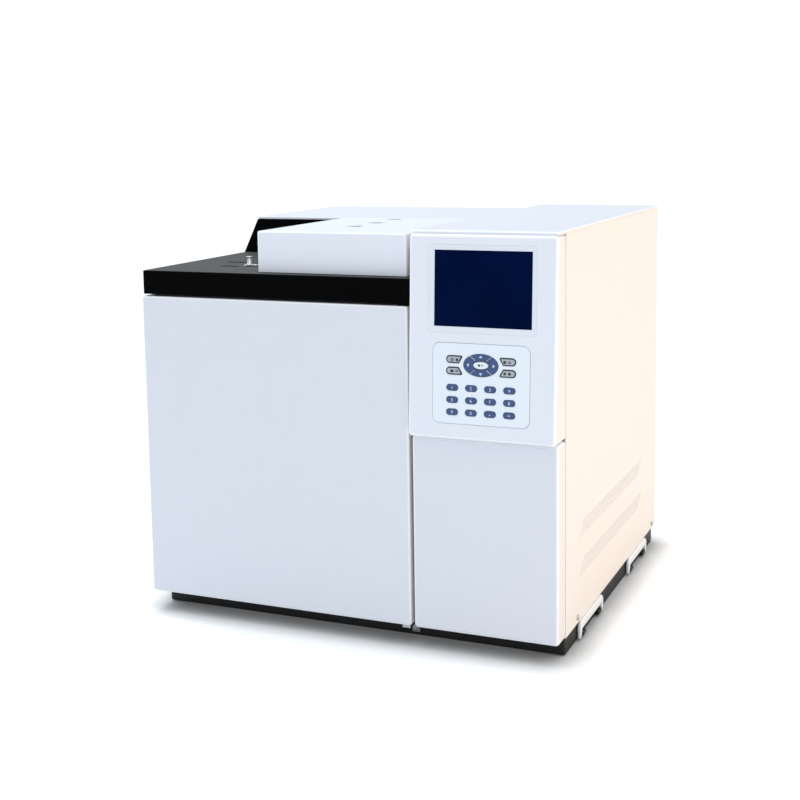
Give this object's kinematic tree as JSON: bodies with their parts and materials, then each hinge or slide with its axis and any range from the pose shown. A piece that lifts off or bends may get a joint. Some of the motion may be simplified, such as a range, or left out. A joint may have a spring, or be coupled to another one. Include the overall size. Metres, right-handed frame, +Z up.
{
  "type": "gas chromatograph",
  "caption": "Bench gas chromatograph: a column oven behind a hinged door, injector and detector covers on top, and a control tower with a display and keypad.",
  "frame": {"origin": "on the bench, under the middle of the instrument's bounding box", "axes": "+Z up; the door and console face -Y; the control tower stands at +X"},
  "size_m": [0.5494, 0.5388, 0.5],
  "materials": {
    "white_paint": "satin powder coat",
    "side_paint": "satin powder coat",
    "black_paint": "satin powder coat",
    "white_moulding": "fine grain moulding",
    "display_glass": "dark display lens",
    "keypad_film": "matt printed film",
    "key_blue": "matt blue",
    "key_grey": "matt pale grey",
    "handle_plastic": "moulded white",
    "foot_rubber": "matt black",
    "zinc_sheet": "plated sheet",
    "stainless": "brushed stainless",
    "insulation": "mineral wool",
    "heater_alloy": "heat-darkened wire",
    "motor_paint": "dark grey paint",
    "column_tube": "amber coated tube",
    "fitting_brass": "machined brass",
    "board_plastic": "green board",
    "seal_fabric": "braided glass rope",
    "black_plastic": "moulded black"
  },
  "bodies": {
    "cabinet": {"base_plinth": "black_paint", "rubber_feet": "foot_rubber", "left_side_panel": "side_paint", "right_side_panel": "side_paint", "rear_panel": "side_paint", "tower_partition": "zinc_sheet", "tower_top_cover": "white_paint", "lower_front_cover": "white_paint", "console_housing": "white_moulding", "display_bezel": "white_moulding", "display_window": "display_glass", "keypad_plate": "keypad_film", "deck": "black_paint", "detector_hood": "black_paint", "oven_jacket": "insulation", "oven_liner": "stainless", "fan_baffle": "stainless", "heater_coil": "heater_alloy", "fan_motor": "motor_paint", "injectors": "stainless", "detectors": "stainless", "column_coil": "column_tube", "hinge_brackets": "stainless", "deck_catch": "stainless", "mains_inlet": "black_plastic", "gas_fittings": "fitting_brass", "control_board": "board_plastic"},
    "door": {"door_panel": "white_paint", "door_liner": "stainless", "door_seal": "seal_fabric"},
    "injector_cover": {"injector_cover": "white_paint"},
    "detector_lid": {"detector_lid": "white_paint"},
    "oven_fan": {"oven_fan": "stainless"},
    "vent_flap": {"vent_flap": "side_paint"},
    "power_rocker": {"power_rocker": "black_plastic"},
    "key_1": {"key_1": "key_blue"},
    "key_2": {"key_2": "key_blue"},
    "key_3": {"key_3": "key_blue"},
    "key_4": {"key_4": "key_blue"},
    "key_5": {"key_5": "key_blue"},
    "key_6": {"key_6": "key_blue"},
    "key_7": {"key_7": "key_blue"},
    "key_8": {"key_8": "key_blue"},
    "key_9": {"key_9": "key_blue"},
    "key_0": {"key_0": "key_blue"},
    "key_point": {"key_point": "key_blue"},
    "key_minus": {"key_minus": "key_blue"},
    "key_menu": {"key_menu": "key_grey"},
    "key_back": {"key_back": "key_grey"},
    "key_start": {"key_start": "key_grey"},
    "key_stop": {"key_stop": "key_grey"},
    "nav_up": {"nav_up": "key_blue"},
    "nav_left": {"nav_left": "key_blue"},
    "nav_down": {"nav_down": "key_blue"},
    "nav_right": {"nav_right": "key_blue"},
    "key_enter": {"key_enter": "keypad_film"},
    "handle_front_right": {"handle_front_right": "handle_plastic"},
    "handle_rear_right": {"handle_rear_right": "handle_plastic"},
    "handle_front_left": {"handle_front_left": "handle_plastic"},
    "handle_rear_left": {"handle_rear_left": "handle_plastic"}
  },
  "joints": [
    {"name": "door_hinge", "type": "hinge", "parent": "cabinet", "child": "door", "pos_m": [0.083, -0.2485, 0.2185], "axis": [0, 0, 1], "range_deg": [0, 90]},
    {"name": "injector_cover_hinge", "type": "hinge", "parent": "cabinet", "child": "injector_cover", "pos_m": [-0.0149, -0.0035, 0.4899], "axis": [-1, 0, 0], "range_deg": [0, 75]},
    {"name": "detector_lid_hinge", "type": "hinge", "parent": "cabinet", "child": "detector_lid", "pos_m": [-0.092, 0.2615, 0.4893], "axis": [-1, 0, 0], "range_deg": [0, 75]},
    {"name": "fan_spin", "type": "hinge", "parent": "cabinet", "child": "oven_fan", "pos_m": [-0.091, -0.0075, 0.2185], "axis": [0, 1, 0], "continuous": true},
    {"name": "vent_flap_hinge", "type": "hinge", "parent": "cabinet", "child": "vent_flap", "pos_m": [-0.091, 0.2615, 0.359], "axis": [1, 0, 0], "range_deg": [0, 60]},
    {"name": "power_rocker_tilt", "type": "hinge", "parent": "cabinet", "child": "power_rocker", "pos_m": [0.227, 0.2535, 0.133], "axis": [1, 0, 0], "range_deg": [0, 14]},
    {"name": "handle_front_right_pivot", "type": "hinge", "parent": "cabinet", "child": "handle_front_right", "pos_m": [0.2721, -0.1145, 0.0054], "axis": [0, 1, 0], "range_deg": [0, 90]},
    {"name": "handle_rear_right_pivot", "type": "hinge", "parent": "cabinet", "child": "handle_rear_right", "pos_m": [0.2721, 0.1375, 0.0054], "axis": [0, 1, 0], "range_deg": [0, 90]},
    {"name": "handle_front_left_pivot", "type": "hinge", "parent": "cabinet", "child": "handle_front_left", "pos_m": [-0.2721, -0.1145, 0.0054], "axis": [0, -1, 0], "range_deg": [0, 90]},
    {"name": "handle_rear_left_pivot", "type": "hinge", "parent": "cabinet", "child": "handle_rear_left", "pos_m": [-0.2721, 0.1375, 0.0054], "axis": [0, -1, 0], "range_deg": [0, 90]},
    {"name": "key_1_press", "type": "slide", "parent": "cabinet", "child": "key_1", "axis": [0, 0.9985, -0.0543], "range_m": [0, 0.0005], "stiffness_N_per_m": 300, "springref_m": -0.0001},
    {"name": "key_2_press", "type": "slide", "parent": "cabinet", "child": "key_2", "axis": [0, 0.9985, -0.0543], "range_m": [0, 0.0005], "stiffness_N_per_m": 300, "springref_m": -0.0001},
    {"name": "key_3_press", "type": "slide", "parent": "cabinet", "child": "key_3", "axis": [0, 0.9985, -0.0543], "range_m": [0, 0.0005], "stiffness_N_per_m": 300, "springref_m": -0.0001},
    {"name": "key_4_press", "type": "slide", "parent": "cabinet", "child": "key_4", "axis": [0, 0.9985, -0.0543], "range_m": [0, 0.0005], "stiffness_N_per_m": 300, "springref_m": -0.0001},
    {"name": "key_5_press", "type": "slide", "parent": "cabinet", "child": "key_5", "axis": [0, 0.9985, -0.0543], "range_m": [0, 0.0005], "stiffness_N_per_m": 300, "springref_m": -0.0001},
    {"name": "key_6_press", "type": "slide", "parent": "cabinet", "child": "key_6", "axis": [0, 0.9985, -0.0543], "range_m": [0, 0.0005], "stiffness_N_per_m": 300, "springref_m": -0.0001},
    {"name": "key_7_press", "type": "slide", "parent": "cabinet", "child": "key_7", "axis": [0, 0.9985, -0.0543], "range_m": [0, 0.0005], "stiffness_N_per_m": 300, "springref_m": -0.0001},
    {"name": "key_8_press", "type": "slide", "parent": "cabinet", "child": "key_8", "axis": [0, 0.9985, -0.0543], "range_m": [0, 0.0005], "stiffness_N_per_m": 300, "springref_m": -0.0001},
    {"name": "key_9_press", "type": "slide", "parent": "cabinet", "child": "key_9", "axis": [0, 0.9985, -0.0543], "range_m": [0, 0.0005], "stiffness_N_per_m": 300, "springref_m": -0.0001},
    {"name": "key_0_press", "type": "slide", "parent": "cabinet", "child": "key_0", "axis": [0, 0.9985, -0.0543], "range_m": [0, 0.0005], "stiffness_N_per_m": 300, "springref_m": -0.0001},
    {"name": "key_point_press", "type": "slide", "parent": "cabinet", "child": "key_point", "axis": [0, 0.9985, -0.0543], "range_m": [0, 0.0005], "stiffness_N_per_m": 300, "springref_m": -0.0001},
    {"name": "key_minus_press", "type": "slide", "parent": "cabinet", "child": "key_minus", "axis": [0, 0.9985, -0.0543], "range_m": [0, 0.0005], "stiffness_N_per_m": 300, "springref_m": -0.0001},
    {"name": "key_menu_press", "type": "slide", "parent": "cabinet", "child": "key_menu", "axis": [0, 0.9985, -0.0543], "range_m": [0, 0.0005], "stiffness_N_per_m": 300, "springref_m": -0.0001},
    {"name": "key_back_press", "type": "slide", "parent": "cabinet", "child": "key_back", "axis": [0, 0.9985, -0.0543], "range_m": [0, 0.0005], "stiffness_N_per_m": 300, "springref_m": -0.0001},
    {"name": "key_start_press", "type": "slide", "parent": "cabinet", "child": "key_start", "axis": [0, 0.9985, -0.0543], "range_m": [0, 0.0005], "stiffness_N_per_m": 300, "springref_m": -0.0001},
    {"name": "key_stop_press", "type": "slide", "parent": "cabinet", "child": "key_stop", "axis": [0, 0.9985, -0.0543], "range_m": [0, 0.0005], "stiffness_N_per_m": 300, "springref_m": -0.0001},
    {"name": "nav_up_press", "type": "slide", "parent": "cabinet", "child": "nav_up", "axis": [0, 0.9985, -0.0543], "range_m": [0, 0.0005], "stiffness_N_per_m": 300, "springref_m": -0.0001},
    {"name": "nav_left_press", "type": "slide", "parent": "cabinet", "child": "nav_left", "axis": [0, 0.9985, -0.0543], "range_m": [0, 0.0005], "stiffness_N_per_m": 300, "springref_m": -0.0001},
    {"name": "nav_down_press", "type": "slide", "parent": "cabinet", "child": "nav_down", "axis": [0, 0.9985, -0.0543], "range_m": [0, 0.0005], "stiffness_N_per_m": 300, "springref_m": -0.0001},
    {"name": "nav_right_press", "type": "slide", "parent": "cabinet", "child": "nav_right", "axis": [0, 0.9985, -0.0543], "range_m": [0, 0.0005], "stiffness_N_per_m": 300, "springref_m": -0.0001},
    {"name": "key_enter_press", "type": "slide", "parent": "cabinet", "child": "key_enter", "axis": [0, 0.9985, -0.0543], "range_m": [0, 0.0005], "stiffness_N_per_m": 300, "springref_m": -0.0001}
  ]
}
